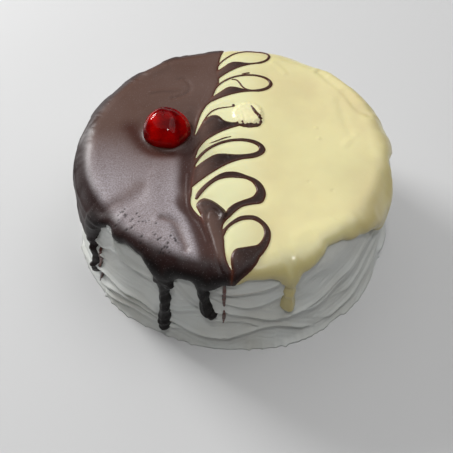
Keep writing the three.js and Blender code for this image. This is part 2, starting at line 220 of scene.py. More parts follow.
def foot_flakes(angle):
    """How far the cream's ragged foot stands out: slow swellings and small pointed flakes."""
    turn = np.radians(angle)
    flakes = np.clip(ripples(angle, 0 * angle, 3.0, 12) - 0.4, 0, None)
    return 0.9 * np.sin(4 * turn - 0.2) + 0.5 * np.sin(11 * turn + 1.8) + 0.5 * flakes


def add_piece(name, points, quads, triangles=(), marks=None, flat=0):
    """Puts points (mm) and faces into a smooth mesh, with one value a point for each mark. The last
    few quads may stay flat, so that they don't turn the shading of the faces beside them."""
    triangles = np.array(triangles, int).reshape(-1, 3)
    mesh = bpy.data.meshes.new(name)
    mesh.vertices.add(len(points))
    mesh.vertices.foreach_set("co", (points * MM).astype(np.float32).ravel())
    corners = np.concatenate([quads.ravel(), triangles.ravel()])
    mesh.loops.add(len(corners))
    mesh.loops.foreach_set("vertex_index", corners.astype(np.int32))
    mesh.polygons.add(len(quads) + len(triangles))
    starts = np.concatenate([np.arange(len(quads)) * 4, 4 * len(quads) + np.arange(len(triangles)) * 3])
    mesh.polygons.foreach_set("loop_start", starts.astype(np.int32))
    mesh.polygons.foreach_set("use_smooth", np.arange(len(starts)) < len(starts) - flat)
    for mark, values in (marks or {}).items():
        mesh.attributes.new(mark, "FLOAT", "POINT").data.foreach_set("value", values.astype(np.float32))
    mesh.update(calc_edges=True)
    piece = bpy.data.objects.new(name, mesh)
    bpy.context.scene.collection.objects.link(piece)
    return piece


def closed_rings(name, rings, marks=None):
    """A closed body lofted through rings of points (ring, point, xyz) listed from below upwards and
    anticlockwise, with a fan to the middle of the first and of the last ring."""
    count, size = rings.shape[:2]
    number = np.arange(count * size).reshape(count, size)
    after = np.roll(number, -1, axis=1)
    quads = np.stack([number[:-1], after[:-1], after[1:], number[1:]], -1).reshape(-1, 4)
    below, above = count * size, count * size + 1
    fans = [np.column_stack([after[0], number[0], np.full(size, below)])]
    fans.append(np.column_stack([number[-1], after[-1], np.full(size, above)]))
    ends = np.stack([rings[0].mean(0), rings[-1].mean(0)])
    points = np.concatenate([rings.reshape(-1, 3), ends])
    shown = {}
    for mark, values in (marks or {}).items():
        shown[mark] = np.concatenate([values.ravel(), [values[0].mean(), values[-1].mean()]])
    return add_piece(name, points, quads, np.concatenate(fans), shown)


CREAM_COLUMNS = 700
SIDE_ROWS = 104
EDGE_ROWS = 12
TOP_ROWS = (60, 40, 20, 4)  # lengths from the middle, on the covered flat top
BASE_SHARES = (0.3, 0.7, 0.97)  # rings of the flat base, as shares of the foot
TOP_SUNK = 0.4  # how far the covered flat top lies under the outline
BOX_GAP = 0.05  # how far the cream stays inside the box of its solid
angle_row = np.linspace(-180, 180, CREAM_COLUMNS, endpoint=False)
side_s = np.linspace(SIDE_TOP + SIDE_LENGTH, SIDE_TOP, SIDE_ROWS)
edge_s = np.linspace(SIDE_TOP, FLAT_END, EDGE_ROWS)[1:]
cream_s = np.concatenate([side_s, edge_s, TOP_ROWS])
cream_angle, cream_along = np.meshgrid(angle_row, cream_s)
cream_z = outline(cream_along)[1]
cream_relief = spatula_marks(cream_angle, cream_z) * ramp(cream_along, FLAT_END + 1, SIDE_TOP - 4)
cream_relief *= ramp(cream_z, -4.0, 3.0)
cream_relief += foot_flakes(cream_angle) * np.exp(-cream_z / 2.2)
cream_relief = np.where(cream_along > FLAT_END, cream_relief, -TOP_SUNK)
cream_rings = on_cake(np.radians(cream_angle), cream_along, cream_relief)
base_rings = [cream_rings[0] * [share, share, 1] for share in BASE_SHARES]
cream_rings = np.concatenate([np.stack(base_rings), cream_rings])
cream_rings[: len(BASE_SHARES) + 1, :, 2] = 0.0
cream_rings = np.clip(cream_rings, cream_low + BOX_GAP * np.array([1, 1, 0]), cream_high - BOX_GAP)

# Where chocolate has run down the cream it leaves a faint brown stain: under the short hooked drip,
# given by degrees and height. Just under one crest in front runs a brown line that is partly stain
# and partly painted shadow of that crest.
HOOK_STAIN = (-98.6, 22.0)
STAINED_SHADED_CREST = FRONT_CRESTS[9][2]
stain_and_shadow = 0.8 * bell(cream_angle - HOOK_STAIN[0], 1.0) * bell(cream_z - HOOK_STAIN[1], 1.6)
stain_shadow_line = curve_through(STAINED_SHADED_CREST, 60)
stain_shadow_level = np.interp(cream_angle, stain_shadow_line[:, 0], stain_shadow_line[:, 1]) - 0.5
along_crest = ramp(cream_angle, -93, -88) * ramp(-cream_angle, 72, 76)
# painted shadow, tinted brown, just under the crest
stain_and_shadow += bell(cream_z - stain_shadow_level, 0.7) * along_crest
stain_and_shadow = np.concatenate([np.zeros((len(BASE_SHARES), CREAM_COLUMNS)), stain_and_shadow])
cream = closed_rings("cream_coat", cream_rings, {"stain_and_shadow": stain_and_shadow})


def srgb(red, green, blue):
    """A screen colour (0 to 255) as the shader wants it."""
    share = np.array([red, green, blue]) / 255
    linear = np.where(share <= 0.04045, share / 12.92, ((share + 0.055) / 1.055) ** 2.4)
    return (*linear, 1.0)


def node(tree, kind, inputs=None, **settings):
    """Adds a shader node. Inputs are plain values or the sockets of other nodes."""
    made = tree.nodes.new(kind)
    for setting, value in settings.items():
        setattr(made, setting, value)
    for socket, value in (inputs or {}).items():
        if isinstance(value, bpy.types.NodeSocket):
            tree.links.new(value, made.inputs[socket])
        else:
            made.inputs[socket].default_value = value
    return made


def blend_colours(tree, share, first, second):
    """The colour between first and second at share."""
    mixed = node(tree, "ShaderNodeMix", {0: share, 6: first, 7: second}, data_type="RGBA")
    return mixed.outputs[2]


def arithmetic(tree, operation, first, second=0.0, third=0.0):
    """The sum, product or other operation of its values, kept between 0 and 1."""
    values = {0: first, 1: second, 2: third}
    return node(tree, "ShaderNodeMath", values, operation=operation, use_clamp=True).outputs[0]


def mark_value(tree, mark):
    """The value of a mark that the mesh carries."""
    return node(tree, "ShaderNodeAttribute", attribute_name=mark).outputs["Fac"]


def tinted(tree, colour, *tints):
    """Lays tints over a colour, one after another. A tint: its mask, or the name of the mesh's mark
    that serves as one, how much it covers, and its screen colour."""
    for mask, cover, tint in tints:
        share = mark_value(tree, mask) if isinstance(mask, str) else mask
        share = arithmetic(tree, "MULTIPLY", share, cover)
        colour = blend_colours(tree, share, colour, srgb(*tint))
    return colour


def new_finish(name, **constants):
    """A material with its shader and that shader's constants, and the object's own coordinates."""
    finish = bpy.data.materials.new(name)
    finish.use_nodes = True
    tree = finish.node_tree
    shader = tree.nodes["Principled BSDF"]
    for constant, value in constants.items():
        socket = constant.replace("_", " ").title().replace("Ior", "IOR")
        shader.inputs[socket].default_value = value
    place = node(tree, "ShaderNodeTexCoord").outputs["Object"]
    return finish, tree, shader, place


def new_effect(name, outputs, **inputs):
    """An empty node group with numbers as inputs and outputs, and the object's place among them."""
    group = bpy.data.node_groups.new(name, "ShaderNodeTree")
    group.interface.new_socket("Place", in_out="INPUT", socket_type="NodeSocketVector")
    for socket, value in inputs.items():
        made = group.interface.new_socket(socket, in_out="INPUT", socket_type="NodeSocketFloat")
        made.default_value = value
    for socket in outputs:
        group.interface.new_socket(socket, in_out="OUTPUT", socket_type="NodeSocketFloat")
    return group, node(group, "NodeGroupInput").outputs, node(group, "NodeGroupOutput").inputs


def effect(tree, group, place, **values):
    """Places an effect in a material with its own values."""
    return node(tree, "ShaderNodeGroup", {"Place": place, **values}, node_tree=group).outputs


# Soft patches: noise, spread from 0 to 1 round its middle.
patches_effect, given, wanted = new_effect("soft_patches", ["Mask"], Scale=40.0, Spread=2.0)
patch_inputs = {"Vector": given["Place"], "Scale": given["Scale"], "Detail": 3.0}
coarse = node(patches_effect, "ShaderNodeTexNoise", patch_inputs)
spread = node(patches_effect, "ShaderNodeMath", {0: coarse.outputs["Fac"], 1: 0.5}, operation="SUBTRACT")
patch = arithmetic(patches_effect, "MULTIPLY_ADD", spread.outputs[0], given["Spread"], 0.5)
patches_effect.links.new(patch, wanted["Mask"])

# Tiny bubbles: round dots, one in each cell of a random grid, of uneven size.
bubbles_effect, given, wanted = new_effect("tiny_bubbles", ["Mask"], Scale=900.0, Size=0.25)
cells = node(bubbles_effect, "ShaderNodeTexVoronoi", {"Vector": given["Place"], "Scale": given["Scale"]})
uneven = node(bubbles_effect, "ShaderNodeTexNoise", {"Vector": given["Place"], "Scale": given["Scale"]})
reach = arithmetic(bubbles_effect, "MULTIPLY", uneven.outputs["Fac"], given["Size"])
off_middle = arithmetic(bubbles_effect, "DIVIDE", cells.outputs["Distance"], reach)
dot = arithmetic(bubbles_effect, "SUBTRACT", 1.0, off_middle)
bubbles_effect.links.new(dot, wanted["Mask"])

# Fine grain: noise for a Bump node.
grain_effect, given, wanted = new_effect("fine_grain", ["Height"], Scale=500.0, Detail=3.0)
grain_inputs = {"Vector": given["Place"], "Scale": given["Scale"], "Detail": given["Detail"]}
grain_noise = node(grain_effect, "ShaderNodeTexNoise", grain_inputs)
grain_effect.links.new(grain_noise.outputs["Fac"], wanted["Height"])
GRAIN_DEPTH = 0.0006  # metres

finish, tree, shader, place = new_finish(
    "whipped_cream",
    roughness=0.33,
    coat_weight=0.3,
    coat_roughness=0.22,
    subsurface_weight=0.04,
    subsurface_radius=(0.003, 0.0025, 0.002),
    subsurface_scale=1.0,
)
shade = effect(tree, patches_effect, place, Scale=45.0, Spread=2.2)["Mask"]
colour = blend_colours(tree, shade, srgb(214, 217, 214), srgb(204, 204, 197))
# brown stain under the hooked drip, and a brown painted shadow under one crest
colour = tinted(tree, colour, ("stain_and_shadow", 1.0, (160, 128, 100)))
tree.links.new(colour, shader.inputs["Base Color"])
grain = effect(tree, grain_effect, place, Scale=700.0, Detail=4.0)["Height"]
bumps = node(tree, "ShaderNodeBump", {"Height": grain, "Strength": 0.12, "Distance": GRAIN_DEPTH})
tree.links.new(bumps.outputs["Normal"], shader.inputs["Normal"])
cream.data.materials.append(finish)
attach(cream, "root")
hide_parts("cream_cake")


# ---- White chocolate glaze -----------------------------------------------------------------------
# Poured over the right half, it runs over the edge in tongues and a few drips and sets with a
# rounded lip. It passes under the dark glaze at the join.

WHITE_GLAZE = 3.0  # thickness
RIM = SIDE_TOP - 2.3  # where the glazes end between two tongues, followed from the middle
LIP_WIDTH = 3.6  # width over which the rim rounds off
LIP_SWELL = 0.2  # how much thicker the glaze is just above the rim, as a share
SINK_SLOPE = 2.4  # how steeply the face runs into the cream outside the rim
GLAZED_CREST = 3.0  # length over which a crest under glaze drops away
DRIP_ROOT = 3.2  # how softly a drip grows out of the rim
BLOB_ROOT = 1.6  # how softly a round end or nub grows out of its drip
# A tongue of glaze: degrees, width in degrees, how much further down it runs.
TONGUES = (
    (-163, 9, 25), (-151, 5, 13), (-139, 4, -4), (-127, 6, -4.5), (-113.5, 4.5, 6.5), (-106, 4, 2),
    (-98.5, 3.5, 5), (-83, 4, -2), (-71, 3.4, 6.5), (-53, 8, -7.5), (-25, 8, 11), (-5, 7, -3), (14, 7, 9),
    (41, 8, -5), (60, 6, 8), (84, 8, 2), (108, 6, 9), (128, 7, -6), (147, 6, 10), (169, 6, -3),
)
# A drip: degrees, heights of its start and end, half its width at the root, neck and foot, and how
# far it wanders sideways at even steps on its way.
DRIPS = (
    (-150.5, 46, 4.5, (3.2, 2.5, 2.0), (2, 0, -1, 1, 0, -1)),
    (-114.2, 52, 6.5, (4.2, 2.6, 2.6), (-1, 0.5, 0, 0.5, 0, 0.5)),
    (-100.2, 52, 26.0, (4.0, 2.6, 2.8), (-1, -0.6, 0.2, 1, 2.4)),
    (108, 48, 24, (3.4, 2.2, 2.6), (0, 1, 0.4)),
    (147, 47, 12, (3.2, 2.0, 2.4), (0, -1, 0.6)),
    (-70.4, 52, 25, (4.4, 2.7, 3.4), (1, 0.4, 0, 0)),
    (14, 48, 21, (3.4, 2.3, 2.7), (0, 1, 0.3)),
    (60, 48, 30, (3.2, 2.2, 2.5), (0, -0.6, 0)),
)
# Round ends of the hooked and the white drip, and nubs beside the long front drip: degrees, height
# and radius.
BLOBS = (
    (-97.0, 27.0, 2.7), (-70.4, 28.0, 3.6), (-113.2, 16.5, 1.6), (-111.5, 44.0, 2.6), (-114.6, 46, 3.4),
)
# The line where the dark half ends, from the back to the front, on the unrolled top.
JOIN = (
    (-4, 100), (-7, 77), (-9.1, 68), (-10.0, 57.7), (-9.6, 53), (-9.2, 48.5), (-10.2, 44), (-11.8, 38),
    (-13.5, 32), (-15.9, 28), (-18.1, 22), (-19.6, 14.3), (-20.9, 4), (-20.2, -6), (-19.5, -14),
    (-19.8, -22), (-20.6, -27), (-20.4, -33), (-20.8, -38.7), (-20.4, -41.7), (-19.1, -44.5),
    (-17.1, -47.2), (-15.1, -49.9), (-13.4, -54), (-10.9, -61.4), (-8.8, -69), (-6.6, -75), (-4.4, -79),
    (-2, -84), (-1, -100), (0, -128),
)
# Loops dragged out of the dark glaze: the far end, elbow and tip of the middle line, the heel and
# foot of the outer edge on its way back, half the opening, how much that is pinched, and the width of
# the line above and at the end.
LOOPS = (
    ((17.8, 70.2), (-6, 70.5), (-12, 55), (0, 63), (-10, 50), 5.2, 0.8, 1.0, 1.5),
    ((18.2, 47.2), (-7, 51), (-14, 33.5), (-2, 41.5), (-18, 28), 6.0, 0.8, 1.2, 2.1),
    ((12.2, -3.5), (-13, 1), (-20.8, -19), (-5, -11.5), (-21, -31), 4.8, 0.6, 1.8, 3.5),
)
# Closed outlines of what those curves can't follow: the third loop's wedge, the fifth loop with the
# knob rolled up at its foot and the column below it, and the sixth loop with its leaf.
WEDGE_3 = (
    (-20.2, 6), (-17, 15.2), (-14.5, 19.5), (-11.6, 21.3), (-8.7, 20.5), (-5.7, 17.1), (-2.1, 15.6),
    (2.6, 14.6), (1.4, 13.2), (-3.2, 11.3), (-9.5, 7.7), (-15, 2.8), (-18.3, -2.9), (-19.8, -8.5),
    (-21, -14), (-25, -10), (-25, 4),
)
LOOP_5 = (
    (-18.6, -37.5), (-17.6, -33.7), (-14.5, -28.8), (-10.9, -24.7), (-7.6, -21.7), (-3.9, -19.9),
    (1.1, -20), (6, -22.2), (10.5, -24.6), (13.6, -28.1), (15.1, -33.2), (14.3, -37.6), (12.5, -39.8),
    (8.2, -40.7), (4, -42.1), (0.8, -45), (-1.9, -48.5), (-4.4, -51.8), (-5.4, -55.2), (-4.9, -58.5),
    (-4.5, -63.8), (-4.1, -68.9), (-3.3, -72.7), (-1.8, -75.5), (-0.6, -77.5), (-0.8, -82), (-1, -92),
    (-6, -92), (-9, -78), (-11, -69), (-13, -61), (-14.2, -54.5), (-15.2, -48.6), (-16.8, -44.8),
    (-17.8, -41.9), (-16.8, -39.3), (-14.8, -37.7), (-12.6, -38), (-9.9, -39.3), (-7.2, -41.6),
    (-4.8, -44.2), (-3.7, -45.9), (-2.4, -43.4), (0.3, -40.7), (3.9, -38.6), (8.2, -36.6),
    (10.3, -34.2), (11, -31.1), (9.3, -26.9), (6, -24.3), (1.6, -23.4), (-3.8, -23.4), (-8.6, -25.3),
    (-12.4, -29), (-15.4, -33.4), (-17.9, -37.7),
)
LOOP_6 = (
    (-4.2, -56.6), (-2.8, -53.9), (-0.7, -51.5), (2.4, -48.9), (6, -47.9), (10.2, -48.2), (13.3, -50.5),
    (16, -54.2), (17.1, -58.8), (16.2, -64), (14.1, -68.6), (12, -71), (10.6, -73.5), (8, -76.3),
    (5.5, -78.3), (3.1, -80.2), (1.1, -83), (0, -92), (-0.6, -84), (0, -77.5), (-0.5, -75.2),
    (-0.8, -72.7), (-0.2, -70), (1.4, -67.7), (4.7, -66.8), (8.1, -66), (11.2, -65), (13.4, -62.1),
    (14.5, -58.2), (13.7, -54), (11.3, -51.3), (8.2, -49.9), (4, -50.4), (0.4, -52.4), (-2.3, -54.9),
    (-3.6, -56.9),
)
DRAWN_SHAPES = (WEDGE_3, LOOP_5, LOOP_6)
DRAWN_GROW = 0.32  # how far those outlines are let out, because the rounded edge looks narrower
LOOP_STEPS = 36  # points along each half of a loop's edge
LOOP_BACK = 0.34  # share of the lower half after which the outer edge leaves for the heel
LOOPS_REACH = 26.0  # the join and all the loops lie this near the middle
FAR_INSIDE = 40.0  # inside distance of places further away than that
# Thin threads of dark glaze left beside the loops: path and half the width.
THREADS = (
    (((-2.5, 50.3), (0.3, 50), (2, 47.8), (3.5, 44.8), (5.5, 42.7), (9.5, 41.6)), 0.5),
    (((-13, 0.5), (-7.8, 3.2), (-5.5, 4.4), (-2.0, 5.3)), 0.4),
    (((3.2, 55.1), (6.9, 56.1), (7.4, 56.0)), 0.5),
    (((-20.8, 3), (-19.8, 7.1), (-17.3, 15.1), (-14, 22.8), (-9.9, 26.4), (-4.7, 27.6), (-0.5, 28.2)), 0.45),
    (((-1.6, 28.6), (-0.6, 29.6)), 0.9),
    (((-2.6, -54.2), (-4.2, -57), (-5, -60.5)), 0.9),
    (((8.2, 28.2), (9.6, 25.2), (10.8, 22.6), (12.3, 20.5), (13.4, 17.2), (13.2, 15.2)), 0.9),
    (((13.4, 16.4), (12.4, 14.4), (9.5, 13.4), (6, 13.3), (2, 14.4), (-1.5, 15.4)), 1.2),
)
BLISTER = (6.6, 22.4)  # middle of the crumbly blister on the third loop
BLISTER_SIZE = (8.0, 8.6)
BLISTER_RISE = 1.1
# Marks in the white glaze: path, half the width, height (a furrow where it is below 0).
WHITE_MARKS = (
    (((45.7, 57.2), (51.5, 49.6), (58.2, 41.6), (63.1, 31.5), (66.3, 26), (69.7, 22.8)), 1.9, -0.7),
    (((50, 57), (58.5, 48), (65, 37), (70, 27), (71, 20)), 4.0, 0.7),
    (((55.8, 34.7), (56.7, 27), (57.8, 17.7), (60.3, 7.3)), 2.4, -0.3),
    (((56.1, 0), (58.9, 4.1), (62.1, 7.8)), 2.0, 0.3),
    (((69.5, -37), (74.6, -26.2), (75.5, -19)), 3.4, -0.8),
    (((50, -62), (54.8, -54), (59.1, -50.9)), 3.2, -0.7),
    (((20.5, 65), (23.9, 61.2), (27.3, 55.9)), 1.6, 0.35),
    (((30, -60), (37.6, -55.1), (44, -52)), 3.0, 0.4),
    (((42.1, 12.4), (42.2, 12.5)), 0.8, 0.35),
    (((43.1, 4.6), (43.2, 4.7)), 0.9, 0.35),
    (((36.5, -25.5), (36.6, -25.5)), 0.7, -0.35),
    (((47.8, -31.1), (47.9, -31.1)), 0.7, -0.35),
)


MARK_STEPS = 12  # points along the smooth path of a mark


def path_distance(x, y, path, steps=MARK_STEPS, closed=False):
    """Distance of each point from a smooth path, stretch by stretch, and how far along the nearest
    place lies (0 to 1). A closed path is taken as straight stretches, and is positive inside."""
    if closed:
        line = np.concatenate([np.array(path, float), np.array(path[:1], float)])
    else:
        line = curve_through(path, steps)
    nearest = np.full(np.shape(x), 1e9)
    along = np.zeros(np.shape(x))
    inside = np.zeros(np.shape(x), bool)
    for k, ((ax, ay), (bx, by)) in enumerate(zip(line[:-1], line[1:])):
        dx, dy = bx - ax, by - ay
        share = np.clip(((x - ax) * dx + (y - ay) * dy) / (dx * dx + dy * dy + 1e-12), 0, 1)
        away = np.hypot(x - ax - share * dx, y - ay - share * dy)
        along = np.where(away < nearest, (k + share) / (len(line) - 1), along)
        nearest = np.minimum(nearest, away)
        if closed and ay != by:
            inside ^= ((ay > y) != (by > y)) & (x < ax + (y - ay) * dx / dy)
    return (np.where(inside, nearest, -nearest) if closed else nearest), along


def near_path(x, y, path, width):
    """1 on a smooth path, falling off in a bell of that half width."""
    return bell(path_distance(x, y, path)[0], width)


def join_up(first, second, soft):
    """The greater of two inside distances, with the corner between them filled over soft."""
    near = np.clip(soft - np.abs(first - second), 0, None)
    return np.maximum(first, second) + near * near / (4 * soft)


def rim_inside(angle, s):
    """How far a place lies inside the glazes' lower rim, in mm: the rim is a base line with a bell
    for each tongue, and each drip adds a narrow tail with a round end."""
    def rim_at(at):
        """Length from the middle to the rim at each angle: the base line and the tongues."""
        total = RIM + 0.7 * np.sin(11 * np.radians(at)) + 0.35 * ripples(at, 0 * at, 5.0, 31)
        for middle, width, run in TONGUES:
            total = total + run * bell(turned_from(at, middle), width)
        return total

    degree = np.radians(1) * CAKE_RADIUS
    slant = (rim_at(angle + 0.5) - rim_at(angle - 0.5)) / degree
    inside = (rim_at(angle) - s) / np.hypot(1, slant)
    for at, start, end, halves, wander in DRIPS:
        first, last = (SIDE_TOP + SIDE_LENGTH - height for height in (start, end + halves[-1]))
        share = np.clip((s - first) / (last - first), 0, 1)
        half = np.interp(share, (0, 0.35, 0.85), halves) * (1 + 0.1 * ripples(s, 0 * s + at, 6.0, 32))
        bends = curve_through(np.column_stack([np.linspace(0, 1, len(wander)), wander]), 40)
        line = np.interp(share, bends[:, 0], bends[:, 1])
        sideways = turned_from(angle, at) * degree - line
        beyond = np.clip(s - last, 0, None) + np.clip(first - s, 0, None)
        inside = join_up(inside, half - np.hypot(sideways, beyond), DRIP_ROOT)
    for at, height, radius in BLOBS:
        sideways = turned_from(angle, at) * degree
        away = np.hypot(sideways, s - (SIDE_TOP + SIDE_LENGTH - height))
        inside = join_up(inside, radius - away, BLOB_ROOT)
    return inside


def loop_outline(end, elbow, tip, heel, foot, opening, pinch, thin, thick):
    """Closed outline of one loop. Its inner edge stands off a bent middle line by a teardrop width,
    pinched below; its outer edge stands off the inner one by the line's width and leaves for the heel
    and foot on the way back."""
    def bend(a, b, c, share):
        """The curve from a to c that sets out and arrives in the direction of b."""
        share = share[:, None]
        return (1 - share) ** 2 * a + 2 * share * (1 - share) * b + share**2 * c

    end, elbow, tip, heel, foot = [np.array(corner, float) for corner in (end, elbow, tip, heel, foot)]
    u = np.linspace(1, -1, 2 * LOOP_STEPS + 1)
    s = u * u
    middle = bend(end, elbow, tip, s)
    heading = 2 * (1 - s)[:, None] * (elbow - end) + 2 * s[:, None] * (tip - elbow)
    heading /= np.hypot(*heading.T)[:, None]
    pinched = np.where(u < 0, 1 - pinch * bell(s - 0.57, 0.2), 1)
    half = opening * pinched * np.sqrt(s) * (1 - s) ** 1.5 * 3.08
    side = np.column_stack([heading[:, 1], -heading[:, 0]]) * np.where(u > 0, 1, -1)[:, None]
    inner = middle + side * half[:, None]
    share = np.clip(1 - np.abs(u) / 0.35, 0, 1)[:, None]
    away = side * (1 - share) - heading * share
    away /= np.hypot(*away.T)[:, None]
    width = thick + (thin - thick) * np.clip(2 * u, 0, 1)
    outer = inner + away * width[:, None]
    leave = np.argmin(np.abs(u + LOOP_BACK))
    back = np.clip((-u - LOOP_BACK) / (1 - LOOP_BACK), 0, 1)
    outer = np.where((u < -LOOP_BACK)[:, None], bend(outer[leave], heel, foot, back), outer)
    return np.concatenate([outer, inner[::-1]])


def around_blister(x, y):
    """1 on the blister's edge line; below inside it and above outside."""
    return np.hypot((x - BLISTER[0]) / BLISTER_SIZE[0], (y - BLISTER[1]) / BLISTER_SIZE[1])


def dark_inside(x, y):
    """How far a place of the unrolled top lies inside the dark glaze, in mm and below 0 in the
    white: the half behind the join line, the loops and the loose threads."""
    field = np.where(x < 0, FAR_INSIDE, -FAR_INSIDE)
    near = np.abs(x) < LOOPS_REACH
    px, py = x[near], y[near]
    dark_half = np.concatenate([curve_through(JOIN, 120), [(-60, -130), (-60, 130)]])
    inside = path_distance(px, py, dark_half, closed=True)[0]
    for loop in LOOPS:
        inside = join_up(inside, path_distance(px, py, loop_outline(*loop), closed=True)[0], 0.5)
    for shape in DRAWN_SHAPES:
        smooth = curve_through(shape + shape[:1], 4 * len(shape))
        inside = join_up(inside, path_distance(px, py, smooth, closed=True)[0] + DRAWN_GROW, 0.4)
    for path, half_width in THREADS:
        away, along = path_distance(px, py, path, steps=14)
        thread = half_width * np.sqrt(np.clip(np.sin(np.pi * along) + 0.1, 0, 1)) - away
        inside = join_up(inside, thread, 0.3)
    crumbly = bell(around_blister(px, py) - 0.98, 0.2) * ramp(px, -1, 3)
    inside += crumbly * 0.42 * ripples(px, py, 2.4, 33)
    field[near] = inside
    return field


def white_face(x, y):
    """Thickness of the white glaze away from its edges: slow waves, furrows and bumps, and the
    crumbly blister. The dark loops lie on it."""
    face = WHITE_GLAZE + 0.13 * ripples(x, y, 44, 34) + 0.012 * ripples(x, y, 12, 35)
    right = x > 15
    for path, width, height in WHITE_MARKS:
        face[right] += height * near_path(x[right], y[right], path, width)
    edge = around_blister(x, y)
    lifted = ramp(-edge, -1.12, -0.78)
    crumbs = ripples(x, y, 1.7, 36) * bell(edge - 0.95, 0.2) + 0.25 * ripples(x, y, 2.4, 37)
    return face + lifted * (BLISTER_RISE + 0.28 * crumbs)


def over_rim(face, inside, angle, z):
    """Lets a glaze of that thickness end in a rounded lip at its rim. The lip swells a little above
    its edge, follows the cream's crests, and outside the rim the face sinks into the cream."""
    inward = np.clip(inside / LIP_WIDTH, 0, 1)
    rounded = np.sqrt(1 - (1 - inward) ** 2)
    swell = 1 + LIP_SWELL * bell(inside - 5, 3.5)
    follow = 0.15 + 0.85 * bell(np.clip(inside, 0, None), 2.4)
    relief = np.zeros(np.shape(z))
    near = (z < CREAM_HEIGHT) & (inside > -3)
    relief[near] = spatula_marks(angle[near], z[near], lines=0, sharp=GLAZED_CREST)
    relief *= follow * ramp(-z, -CREAM_HEIGHT, -SIDE_LENGTH)
    return np.where(inside > 0, face * rounded * swell, SINK_SLOPE * inside) + relief


def unrolled_grid(left, right, low, high, step):
    """A square grid over the unrolled cake: the top as seen from above, with the side laid out flat
    round it. Its first and last cells are very narrow, so that a wall on that border can't turn the
    shading beside it. Returns x and y, with the angle in degrees and the length from the middle."""
    across, along = [round((end - start) / step) for start, end in ((left, right), (low, high))]
    x, y = np.meshgrid(left + step * np.arange(across + 1), low + step * np.arange(along + 1))
    x[:, 1], x[:, -2] = left + 0.01, x[:, -1] - 0.01
    return x, y, np.degrees(np.arctan2(y, x)), np.hypot(x, y)


def closed_skin(name, angle, s, outer, inner, keep, marks):
    """A closed skin over the kept cells of an unrolled grid: the outer face, the inner face and a
    wall round every open border."""
    for _ in range(4):  # fills cells that meet only at a corner
        a, b, c, d = keep[:-1, :-1], keep[:-1, 1:], keep[1:, 1:], keep[1:, :-1]
        b |= a & c & ~b & ~d
        a |= b & d & ~a & ~c
    number = np.arange(s.size).reshape(s.shape)
    cells = np.stack([number[:-1, :-1], number[:-1, 1:], number[1:, 1:], number[1:, :-1]], -1)[keep]
    used, cells = np.unique(cells, return_inverse=True)
    cells = cells.reshape(-1, 4)
    count = len(used)
    edges = np.concatenate([cells[:, [k, (k + 1) % 4]] for k in range(4)])
    lone = ~np.isin(edges[:, 0] * count + edges[:, 1], edges[:, 1] * count + edges[:, 0])
    border = edges[lone]
    walls = np.column_stack([border[:, 1], border[:, 0], border[:, 0] + count, border[:, 1] + count])
    turn = np.radians(angle)
    faces = [on_cake(turn, s, depth).reshape(-1, 3)[used] for depth in (outer, inner)]
    quads = np.concatenate([cells, cells[:, ::-1] + count, walls])
    shown = {mark: np.tile(values.ravel()[used], 2) for mark, values in marks.items()}
    return add_piece(name, np.concatenate(faces), quads, marks=shown, flat=len(walls))


def cells_with(points):
    """The grid cells that have at least one of the given points."""
    return points[:-1, :-1] | points[:-1, 1:] | points[1:, :-1] | points[1:, 1:]


WHITE_STEP = 0.6
GRID_REACH = 116  # how far an unrolled grid has to reach to hold the longest drips at the back
SKIN_DEPTH = -2.2  # the inner faces of the glazes lie this deep in the cream
SKIN_LEAST = 0.1  # and at least this deep under the outer face
PAST_RIM = 1.2  # how far the glazes' skins run on into the cream outside their rim
UNDER_JOIN = 2.6  # how far the white glaze runs on under the dark one
PRESSED = 0.3  # how far the weight of the dark lines presses the white down beside them
PRESSED_WIDTH = 2.6

x, y, angle, s = unrolled_grid(-25, GRID_REACH, -GRID_REACH, GRID_REACH, WHITE_STEP)
rim = rim_inside(angle, s)
dark = dark_inside(x, y)
pressed = PRESSED * bell(np.clip(-dark, 0, None), PRESSED_WIDTH)
face = white_face(x, y) - pressed - 0.5 * ramp(dark, 0.4, 1.6)
depth = over_rim(face, rim, angle, outline(s)[1])
inner = np.minimum(SKIN_DEPTH, depth - SKIN_LEAST)
keep = cells_with((rim > -PAST_RIM) & (dark < UNDER_JOIN))
white_marks = {
    "lower": ramp(-rim, -14, -4) * ramp(s, 73, 80),  # painted shade: the side darker and deeper yellow
    "pale": ramp(-x, -20, 4) * ramp(-s, -76, -66),  # the paler ground of the loops
    "blister": ramp(-around_blister(x, y), -1.1, -0.9),
}
white = closed_skin("white_glaze_coat", angle, s, depth, inner, keep, white_marks)

finish, tree, shader, place = new_finish(
    "white_chocolate",
    roughness=0.32,
    coat_weight=0.2,
    coat_roughness=0.2,
    subsurface_weight=0.2,
    subsurface_radius=(0.003, 0.0022, 0.001),
    subsurface_scale=1.0,
)
shade = effect(tree, patches_effect, place, Scale=28.0, Spread=4.0)["Mask"]
colour = blend_colours(tree, shade, srgb(224, 212, 158), srgb(210, 194, 144))
green = effect(tree, patches_effect, place, Scale=16.0, Spread=3.0)["Mask"]
fine = effect(tree, bubbles_effect, place, Scale=1000.0, Size=0.4)["Mask"]
colour = tinted(
    tree,
    colour,
    (green, 0.5, (214, 211, 156)),
    # painted shade on the side, near the rim
    ("lower", 0.6, (186, 169, 108)),
    ("pale", 0.8, (223, 223, 177)),
    ("blister", 0.6, (240, 232, 184)),
    (fine, 0.3, (240, 234, 190)),
)
tree.links.new(colour, shader.inputs["Base Color"])
grain = effect(tree, grain_effect, place, Scale=420.0, Detail=3.0)["Height"]
bumps = node(tree, "ShaderNodeBump", {"Height": grain, "Strength": 0.06, "Distance": GRAIN_DEPTH})
tree.links.new(bumps.outputs["Normal"], shader.inputs["Normal"])
white.data.materials.append(finish)
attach(white, "root")
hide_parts("white_glaze")


# ---- Dark chocolate glaze ------------------------------------------------------------------------
# Poured over the left half, thicker than the white and full of small air bubbles. It runs down the
# side in tongues and thick drips. A skewer has dragged it out over the white in six loops.

